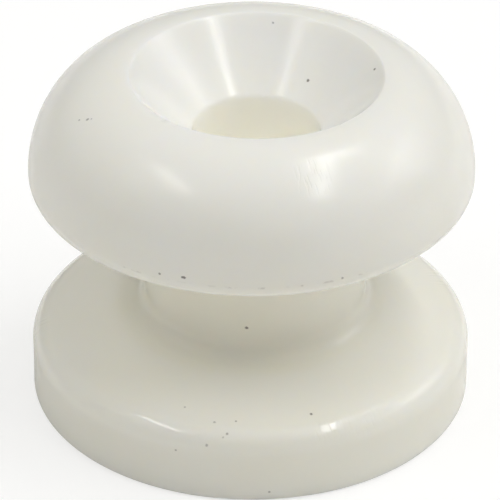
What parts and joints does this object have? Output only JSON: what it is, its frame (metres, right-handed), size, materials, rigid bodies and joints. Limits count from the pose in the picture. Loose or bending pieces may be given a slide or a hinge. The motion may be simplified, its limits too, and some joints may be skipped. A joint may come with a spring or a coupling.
{
  "type": "fence insulator",
  "caption": "One-piece moulded reel insulator for fence wire: domed upper flange, deep wire groove round a narrow waist, flat base flange, and a countersunk bore on its axis.",
  "frame": {"origin": "centre of the base flange's flat underside, where the bore's axis meets the surface the insulator is fixed to", "axes": "+Z along the bore's axis, from the base flange to the countersunk dome; +X and +Y are any two directions square to it, since the shape is round"},
  "size_m": [0.04, 0.04, 0.032],
  "materials": {
    "insulator_plastic": "glossy, slightly translucent off-white moulding plastic"
  },
  "bodies": {
    "root": {"insulator_body": "insulator_plastic"}
  },
  "joints": []
}
